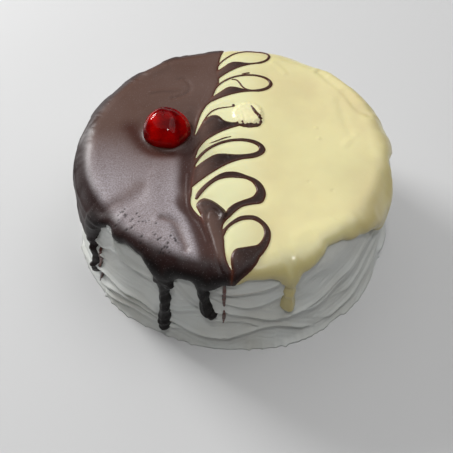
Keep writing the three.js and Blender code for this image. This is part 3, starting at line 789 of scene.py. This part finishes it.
DARK_RISE = 0.75  # how far the dark glaze stands above the white
DOME = 1.5  # width over which its edge on the white rounds up
DOME_SLOPE = 2.2  # how steeply it runs into the white outside that edge
PAST_EDGE = 0.7  # how far its skin runs on under the white there
CHERRY_AT = (-34.3, 6.8)
CHERRY_FOOT = 11.8  # radius of the cherry where it meets the glaze
# Marks in the dark glaze: path, half the width, height (a furrow where it is below 0).
DIMPLE = ((-54, 10), (-50, 3.5), (-45.5, -2.5), (-39.5, -6), (-32, -6))
TROUGH = ((-46, -30), (-55, -39), (-61, -45))  # a hollow in the front where the painted sheen gives way to painted shade
PRINT = ((-33.8, 33.4), (-28, 35.8), (-25.2, 39.5), (-24.7, 44), (-28, 49.5), (-31, 49.6))
FOLD = ((-33.5, -50.5), (-28, -53), (-24.5, -60.2), (-21.6, -67.4))
DARK_MARKS = (
    (DIMPLE, 4.6, -0.7),
    (((-21.5, 25), (-22.5, 0), (-23, -20), (-22.5, -38), (-19, -50)), 3.0, -0.45),
    (PRINT, 1.3, -0.4),
    (FOLD, 2.0, -1.2),
    (((-30, -47), (-24, -51), (-20.5, -59), (-18, -66)), 2.4, 0.4),
    (((-36, -53), (-31, -57), (-28, -64), (-25, -70)), 2.8, 0.5),
    (((-76, -30), (-70, -38), (-63, -43), (-57, -47.5)), 4.0, -1.0),
    (((-60, -44), (-52, -41), (-46, -37), (-43.5, -28), (-43, -18)), 3.4, -0.45),
    (((-42, -22), (-39.5, -36), (-34.5, -48), (-30, -60)), 4.6, 0.45),
    (((-70, -4), (-71, -16), (-67, -29), (-59, -38)), 5.0, 0.5),
    (((-71.6, 17.4), (-77.7, 5.5), (-80, -8), (-80, -19), (-77.9, -30.3), (-70, -43), (-62, -54)), 0.9, 0.4),
    (((-45.5, 38), (-41, 39.3), (-36, 39.7), (-31.5, 40.2)), 1.1, 0.3),
    (((-45.5, 36), (-40, 37.2), (-34, 37)), 1.6, -0.2),
    (((-24.5, 23), (-21.7, 17), (-22.8, 11)), 3.0, 0.4),
)
# Marks among the loops: folds beside the join, the rolled knob with its hollow, the column below it
# with a groove on its left, and the raised edges of the wedges and the leaf.
LOOP_MARKS = (
    (((-22.8, -22), (-22.6, -34), (-20.8, -46), (-15.6, -54), (-11.6, -64)), 1.1, 0.45),
    (((-21.6, -30), (-21.5, -38), (-19.6, -45.5), (-14.5, -52.5)), 0.7, -0.3),
    (((-15.8, -46), (-16.4, -42), (-13.9, -40.2), (-10.5, -41.2), (-7.1, -44.2), (-4.9, -47.6), (-5, -51)),
     1.8, 0.9),
    (((-12.8, -50), (-12.4, -46.8), (-10.9, -45.3), (-8.9, -46), (-7.6, -48.6)), 1.0, -0.45),
    (((-9.3, -54), (-8.2, -62), (-6.3, -69), (-3.6, -77)), 3.2, 0.3),
    (((-12.8, -53.5), (-10.4, -61.4), (-8.5, -69), (-6.3, -75), (-4.1, -78.4)), 0.9, -0.4),
    (((0.2, -74), (0, -71), (2.1, -68.4), (5.2, -67.4), (10, -66)), 0.9, 0.5),
    (((12, -69), (8, -72), (4, -76), (1, -80)), 2.6, 0.5),
    (((-17, -13.5), (-12.8, -8), (-9, -6.8), (-4, -9)), 1.5, 0.9),
    (((-19, -20), (-13, -14), (-6, -11.5)), 1.4, -0.3),
    (((-15.5, 16), (-12, 19.5), (-8.8, 18.9), (-5.8, 15.6), (-2, 14)), 1.3, 0.8),
    (((-18, 2), (-12, 8), (-5, 12.5)), 2.0, -0.3),
)
PIT_SEED = 17
PITS = 46
PIT_BAND = ((-55, -47), (-47, -52), (-37, -58), (-27, -66))  # the line that they gather along
PIT_DEPTH = 0.18


def bubble_pits(x, y):
    """Burst bubbles: a field of small round holes along the front of the dark half, 0 to 1 deep."""
    draw = np.random.default_rng(PIT_SEED)
    band = curve_through(PIT_BAND, 50)
    pits = np.zeros(np.shape(x))
    for _ in range(PITS):
        cx, cy = band[draw.integers(50)] + draw.normal(0, 1, 2) * (2.0, 4.2)
        size = draw.uniform(0.35, 0.65)
        away = np.hypot((x - cx) / 1.1, y - cy)
        pits = np.maximum(pits, ramp(-away, -size * 1.25, -size * 0.35))
    return pits


def dark_face(x, y, inside):
    """Thickness of the dark glaze away from its rim: the white face, a step up with a rounded edge,
    and its own waves, wrinkles and pits. It is pushed up in a ring round the cherry, with a hollow
    outside that."""
    inward = np.clip(inside / DOME, 0, 1)
    rise = DARK_RISE * np.sqrt(1 - (1 - inward) ** 2)
    own = ramp(inside, 0.3, 2.4)
    relief = 0.12 * ripples(x, y, 28, 51) + 0.014 * ripples(x, y, 7, 52)
    for path, width, height in DARK_MARKS + LOOP_MARKS:
        relief = relief + height * near_path(x, y, path, width)
    relief = relief + 0.07 * near_path(x, y, PRINT, 1.8) * ripples(x, y, 1.4, 53)
    past_cherry = np.hypot(x - CHERRY_AT[0], y - CHERRY_AT[1]) - CHERRY_FOOT
    relief = relief + 0.6 * bell(past_cherry, 0.9) - 0.5 * bell(past_cherry - 4, 3.0)
    relief = relief - PIT_DEPTH * bubble_pits(x, y)
    face = white_face(x, y) - PRESSED * bell(np.clip(-inside, 0, None), PRESSED_WIDTH)
    return np.where(inside > 0, face + rise + own * relief, face + DOME_SLOPE * inside)


DARK_FRONT = -128.0  # the unrolled grids of the dark glaze run from here, below the front drips,
DARK_BACK = 104.0  # to here, below the rim at the back
STRIP_LEFT = -24.0  # left of the strip that holds the join and the loops
STRIP_RIGHT = 22.0
COAT_STEP = 0.46
LOOPS_STEP = 0.34  # finer, for the thin lines


def all_inside(x, y):
    """Far from the join every place lies well inside the dark glaze."""
    return np.full(x.shape, FAR_INSIDE)


def dark_piece(name, left, right, step, inside_of):
    """One stretch of the dark glaze, cut from an unrolled grid. Neighbours end on the same line."""
    x, y, angle, s = unrolled_grid(left, right, DARK_FRONT, DARK_BACK, step)
    rim = rim_inside(angle, s)
    inside = inside_of(x, y)
    face = dark_face(x, y, inside)
    depth = over_rim(face, rim, angle, outline(s)[1])
    depth = np.where(inside > 0, depth, np.minimum(depth, face))
    inner = np.minimum(SKIN_DEPTH, depth - SKIN_LEAST)
    keep = cells_with((rim > -PAST_RIM) & (inside > -PAST_EDGE))
    join = np.array(JOIN[::-1])
    past_join = x - np.interp(y, join[:, 1], join[:, 0])
    # Painted shade: the painted sheen gives way along the trough and the fold, and is stronger at the far
    # left and near the join.
    hollow = 0.5 * near_path(x, y, TROUGH, 4) + 0.6 * near_path(x, y, FOLD, 1.9)
    sides = 0.8 + 0.2 * ramp(-x, 48, 62) + 0.2 * ramp(x, -36, -26)
    behind = ramp(-np.abs(x + 24.5 + 0.04 * y), -8, -1) * ramp(y, -48, -25) * ramp(-y, -32, -5)
    before = 0.9 * ramp(-np.abs(past_join + 3.5), -6.5, -2) * ramp(-y, 22, 45)
    marks = {
        "lower": ramp(s, 71.5, 76),  # painted shade on the rounded edge and the side, which have no bloom or painted sheen
        "under": ramp(-rim, -12, -5) * ramp(s, 76, 81) * (0.4 + 0.6 * ramp(angle, -158, -138)),  # painted shade, near black, low on the side and on the drips
        "bloom_and_sheen": ramp(-y, -15, 38) * ramp(-past_join, 3, 9) * (1 - hollow) * sides,  # painted sheen, silvery grey, over the front where the surface is also rougher
        "thin": np.exp(-np.clip(inside, 0, None) / 0.55),  # the reddish border on the white
        "join": np.maximum(behind, before),  # the reddish strip dragged along the join
        "dimple": near_path(x, y, DIMPLE, 5.2),
        "pits": bubble_pits(x, y),
        "pulled": ramp(past_join, 1, 14),  # the loops, darker the further they were pulled
    }
    piece = closed_skin(name, angle, s, depth, inner, keep, marks)
    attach(piece, "root")
    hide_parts("dark_glaze")
    return piece


dark_coat = dark_piece("dark_glaze_coat", -GRID_REACH, STRIP_LEFT, COAT_STEP, all_inside)
dark_loops = dark_piece("dark_glaze_loops", STRIP_LEFT, STRIP_RIGHT, LOOPS_STEP, dark_inside)

finish, tree, shader, place = new_finish("dark_chocolate", roughness=0.33, specular_ior_level=0.27)
patchy = effect(tree, patches_effect, place, Scale=30.0, Spread=2.6)["Mask"]
fine = effect(tree, bubbles_effect, place, Scale=1100.0, Size=0.42)["Mask"]
specks = effect(tree, patches_effect, place, Scale=1500.0, Spread=3.0)["Mask"]
# Painted sheen: a speckled silvery grey laid over the front of the dark half.
speckled = arithmetic(tree, "MULTIPLY_ADD", specks, 0.6, 0.42)
painted_sheen = arithmetic(tree, "MULTIPLY", mark_value(tree, "bloom_and_sheen"), speckled)
colour = tinted(
    tree,
    blend_colours(tree, patchy, srgb(84, 59, 49), srgb(92, 70, 62)),
    (painted_sheen, 1.0, (168, 161, 166)),
    ("join", 1.0, (56, 30, 25)),
    ("pulled", 1.0, (36, 15, 7)),
    # painted shade: the edge and the side much darker
    ("lower", 1.0, (40, 20, 18)),
    # painted shade: near black low on the side and on the drips
    ("under", 1.0, (15, 9, 8)),
    ("dimple", 1.0, (62, 24, 10)),
    ("thin", 0.8, (104, 50, 28)),
    # painted shade: the small holes of the burst bubbles nearly black
    ("pits", 1.0, (20, 10, 10)),
    # painted glints: light specks on the tiny bubbles
    (fine, 0.5, (150, 142, 146)),
)
tree.links.new(colour, shader.inputs["Base Color"])
rough = node(tree, "ShaderNodeMapRange", {"Value": patchy, "To Min": 0.28, "To Max": 0.38}).outputs[0]
frosted = arithmetic(tree, "MAXIMUM", mark_value(tree, "bloom_and_sheen"), mark_value(tree, "lower"))
rough = arithmetic(tree, "MULTIPLY_ADD", frosted, 0.16, rough)
tree.links.new(rough, shader.inputs["Roughness"])
grain = effect(tree, grain_effect, place, Scale=500.0, Detail=3.0)["Height"]
grain = arithmetic(tree, "SUBTRACT", grain, arithmetic(tree, "MULTIPLY", fine, 0.5))
bumps = node(tree, "ShaderNodeBump", {"Height": grain, "Strength": 0.16, "Distance": GRAIN_DEPTH})
tree.links.new(bumps.outputs["Normal"], shader.inputs["Normal"])
for piece in (dark_coat, dark_loops):
    piece.data.materials.append(finish)


# ---- Thin runs of dark chocolate -----------------------------------------------------------------
# Two threads ran down the cream by themselves, one at the left and one in front that has parted
# into a thread and a drop. They are thin enough to look reddish.

# A run: degrees and height along it, and half its width from top to bottom.
RUNS = {
    "thread_left": (
        ((-146.6, 31), (-146.2, 25), (-147.0, 18), (-147.3, 9), (-147.8, 2)),
        (1.0, 1.3, 1.0, 0.6, 1.0, 0.4),
    ),
    "thread_front": (
        ((-92.9, 53), (-92.7, 46), (-92.9, 40), (-92.8, 33.5)),
        (1.2, 0.9, 0.8, 1.0, 0.5),
    ),
    "drop_front": (
        ((-92.8, 31), (-92.8, 26), (-93.1, 19.5)),
        (0.4, 0.9, 0.75, 0.35),
    ),
}
RUN_RINGS = 44
RUN_SIDES = 16
RUN_PROUD = 0.4  # how far its middle stands off the cream
RUN_BRIDGE = (-2, 0, 2)  # it lies on the mean height of the crests this far below and above


def run_down(name, path, halves):
    """A flattened tube down the side: an oval section carried along the path and lying on the
    cream's crests, closing to a point at both ends."""
    line = curve_through(path, RUN_RINGS)
    share = np.linspace(0, 1, RUN_RINGS)
    half = np.interp(share, np.linspace(0, 1, len(halves)), halves)
    half = half * np.sqrt(1 - (2 * share - 1) ** 8) + 0.02
    half = half * (1 + 0.06 * ripples(share * 40, 0 * share, 8.0, 61))
    around = np.linspace(0, TURN, RUN_SIDES, endpoint=False)
    sideways = np.degrees(half[:, None] * np.cos(around) / CAKE_RADIUS)
    angle = line[:, :1] + sideways
    z = np.repeat(line[:, 1:], RUN_SIDES, axis=1)
    proud = RUN_PROUD + half[:, None] * (0.2 + 0.8 * np.sin(around))
    cream_below = sum(spatula_marks(line[:, 0], line[:, 1] + lift) for lift in RUN_BRIDGE)
    relief = cream_below[:, None] / len(RUN_BRIDGE)
    rings = on_cake(np.radians(angle), SIDE_TOP + SIDE_LENGTH - z, relief + proud)
    return closed_rings(name, rings[::-1, ::-1])


finish, tree, shader, place = new_finish(
    "thin_dark_chocolate", roughness=0.28, coat_weight=0.4, coat_roughness=0.15
)
patchy = effect(tree, patches_effect, place, Scale=260.0, Spread=3.0)["Mask"]
colour = blend_colours(tree, patchy, srgb(60, 24, 16), srgb(96, 44, 26))
tree.links.new(colour, shader.inputs["Base Color"])
for name, (path, halves) in RUNS.items():
    run = run_down(name, path, halves)
    run.data.materials.append(finish)
    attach(run, "root")


# ---- Cherry --------------------------------------------------------------------------------------
# One glace cherry, soaked in syrup: deep red, see-through near the surface, with shallow wrinkles
# and a very wet shine. It is pressed into the dark glaze.

cherry_low, cherry_high = [np.array(corner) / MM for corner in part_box("cherry")]
CHERRY_FULL = (1.03, 1.1, 1.15)  # how much fuller than its solid, because it narrows and leans
CHERRY_SHIFT = (-1.0, 1.7, 0)
CHERRY_HALF = (cherry_high - cherry_low) / 2 * CHERRY_FULL - 0.15
CHERRY_MIDDLE = (cherry_low + cherry_high) / 2 + CHERRY_SHIFT
CHERRY_MIDDLE[2] = cherry_high[2] - CHERRY_HALF[2]
CHERRY_ROWS = 90
CHERRY_COLUMNS = 150
# Wrinkles: bearing of both ends in degrees, their heights in degrees, width and depth.
WRINKLES = (
    (100, 50, 58, 50, 6.0, 0.024), (40, 12, 50, 20, 5.0, 0.022), (15, -15, 30, 4, 5.0, 0.018),
    (150, 175, 40, 10, 6.0, 0.020), (250, 215, 30, 5, 6.0, 0.012),
)


def wrinkled(bearing, height):
    """How far out the cherry's skin stands, as a share: soft lumps, and a furrow with raised sides
    along each wrinkle, measured in degrees over the skin and smoothed away at the top."""
    turn = np.radians(bearing)
    flat = 40 * np.cos(np.radians(height))
    share = 1 + 0.014 * ripples(flat * np.cos(turn), flat * np.sin(turn), 34, 71)
    for first, last, start, end, width, depth in WRINKLES:
        t = np.linspace(0, 1, 12)
        arched = start + (end - start) * t + 5 * np.sin(np.pi * t)
        away = np.full(np.shape(bearing), 1e9)
        for at, level in zip(first + (last - first) * t, arched):
            across = turned_from(bearing, at) * np.cos(np.radians(height))
            away = np.minimum(away, np.hypot(across, height - level))
        rolled = 0.4 * bell(away - 2.2 * width, width) - bell(away, width)
        share = share + depth * rolled * ramp(-height, -84, -60)
    return share


bearings = np.linspace(-180, 180, CHERRY_COLUMNS, endpoint=False)
bearing, height = np.meshgrid(bearings, np.linspace(-88, 88, CHERRY_ROWS))
share = wrinkled(bearing, height) * (1 + 0.02 * np.cos(np.radians(2 * bearing)))
turn, rise = np.radians(bearing), np.radians(height)
ball = np.stack([np.cos(rise) * np.cos(turn), np.cos(rise) * np.sin(turn), np.sin(rise)], -1)
rings = ball * share[..., None]
rings[..., 0] *= 1 - 0.1 * ramp(rings[..., 1], -0.2, 1.0)  # narrower towards the back
rings[..., :2] *= 1 - 0.1 * ramp(rings[..., 2:], 0.1, 1.0)  # and towards the top
rings[..., 0] -= 0.07 * ramp(rings[..., 2], 0.0, 1.0)  # leaning to the left
# Painted shade and glow: the flesh is darker on the far side of its top and at its left, so that
# the rest looks lit through from behind.
far_top = ramp(rings[..., 2] + 0.6 * rings[..., 1], 0.72, 1.25)
shaded_crown = np.maximum(far_top, 0.8 * ramp(-rings[..., 0], 0.5, 0.95))
rings = CHERRY_MIDDLE + rings * CHERRY_HALF
rings[..., 2] = np.minimum(rings[..., 2], cherry_high[2] - 0.02)
cherry = closed_rings("glace_cherry_skin", rings, {"shaded_crown": shaded_crown})

finish, tree, shader, place = new_finish(
    "glace_cherry",
    roughness=0.09,
    specular_ior_level=0.12,
    coat_weight=0.04,
    coat_roughness=0.04,
    subsurface_weight=0.5,
    subsurface_radius=(0.006, 0.0006, 0.0004),
    subsurface_scale=1.0,
)
flesh = effect(tree, patches_effect, place, Scale=90.0, Spread=3.5)["Mask"]
colour = blend_colours(tree, flesh, srgb(104, 1, 3), srgb(176, 4, 2))
# painted shade on the far top and the left
colour = tinted(tree, colour, ("shaded_crown", 0.8, (66, 2, 5)))
tree.links.new(colour, shader.inputs["Base Color"])
cherry.data.materials.append(finish)
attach(cherry, "root")
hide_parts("cherry")


# ---- Floor, light and camera ---------------------------------------------------------------------
# A plain pale floor under soft studio lights: a low window light from behind on the left, a broad
# one overhead, two weak ones like bright walls and a small lamp in front. The camera has the
# photograph's angle.

FLOOR_HALF = 3.0
bpy.ops.mesh.primitive_plane_add(size=2 * FLOOR_HALF, location=(0, 0, 0))
floor = bpy.context.object
floor.name = "floor"
finish, tree, shader, place = new_finish("floor", roughness=0.8)
shade = effect(tree, patches_effect, place, Scale=2.0, Spread=1.0)["Mask"]
colour = blend_colours(tree, shade, srgb(200, 200, 200), srgb(205, 205, 205))
tree.links.new(colour, shader.inputs["Base Color"])
floor.data.materials.append(finish)

world = bpy.data.worlds.new("studio")
bpy.context.scene.world = world
world.use_nodes = True
background = world.node_tree.nodes["Background"]
background.inputs["Color"].default_value = (0.93, 0.96, 1.0, 1.0)
background.inputs["Strength"].default_value = 0.03


def soft_light(name, place, target, size, power):
    """A round area light of that size at a place, turned to the target."""
    lamp = bpy.data.lights.new(name, "AREA")
    lamp.shape = "DISK"
    lamp.size = size
    lamp.energy = power
    light = bpy.data.objects.new(name, lamp)
    bpy.context.scene.collection.objects.link(light)
    back = np.array(place) - np.array(target)
    back = back / np.linalg.norm(back)
    right = np.cross((0, 0, 1), back)
    right = right / np.linalg.norm(right)
    turn = np.column_stack([right, np.cross(back, right), back])
    light.matrix_world = Matrix.Translation(place) @ Matrix(turn.tolist()).to_4x4()


# A light: direction in degrees round the cake (90 is behind it), height in degrees, size in metres
# and power in watts.
LIGHTS = {
    "window": (140, 26, 0.46, 13.0),
    "ceiling": (105, 68, 2.2, 8.0),
    "back_wall": (50, 50, 1.2, 0.8),
    "right_wall": (-5, 62, 1.0, 3.4),
    "lamp": (262, 66, 0.12, 2.8),
}
LIGHT_FAR = 1.2  # metres from the cake
LIT_POINT = np.array([0, 0, 0.04])  # metres, inside the cake
for name, (direction, steepness, size, power) in LIGHTS.items():
    turn, rise = np.radians(direction), np.radians(steepness)
    way = np.array([np.cos(rise) * np.cos(turn), np.cos(rise) * np.sin(turn), np.sin(rise)])
    soft_light(name, way * LIGHT_FAR + LIT_POINT, LIT_POINT, size, power)

# The camera was fitted to the outline of the cake in the photograph.
CAMERA_AT = (0.0, -285.44, 344.28)  # mm
CAMERA_DOWN = np.radians(50.773)
CAMERA_YAW = np.radians(-0.523)
CAMERA_ROLL = np.radians(0.855)
CAMERA_LENS = 62.07  # mm
CAMERA_FRAME = 36.0  # mm wide
ahead = np.array([0, np.cos(CAMERA_DOWN), -np.sin(CAMERA_DOWN)])
up = np.array([0, np.sin(CAMERA_DOWN), np.cos(CAMERA_DOWN)])
right = np.array([1.0, 0, 0])
forward = np.cos(CAMERA_YAW) * ahead + np.sin(CAMERA_YAW) * right
level = np.cos(CAMERA_YAW) * right - np.sin(CAMERA_YAW) * ahead
rolled_right = np.cos(CAMERA_ROLL) * level + np.sin(CAMERA_ROLL) * up
rolled_up = np.cos(CAMERA_ROLL) * up - np.sin(CAMERA_ROLL) * level
lens = bpy.data.cameras.new("camera")
lens.sensor_width = CAMERA_FRAME
lens.lens = CAMERA_LENS
camera = bpy.data.objects.new("camera", lens)
bpy.context.scene.collection.objects.link(camera)
turn = np.column_stack([rolled_right, rolled_up, -forward])
camera.matrix_world = Matrix.Translation(np.array(CAMERA_AT) * MM) @ Matrix(turn.tolist()).to_4x4()
bpy.context.scene.camera = camera
bpy.context.scene.view_settings.view_transform = "Standard"
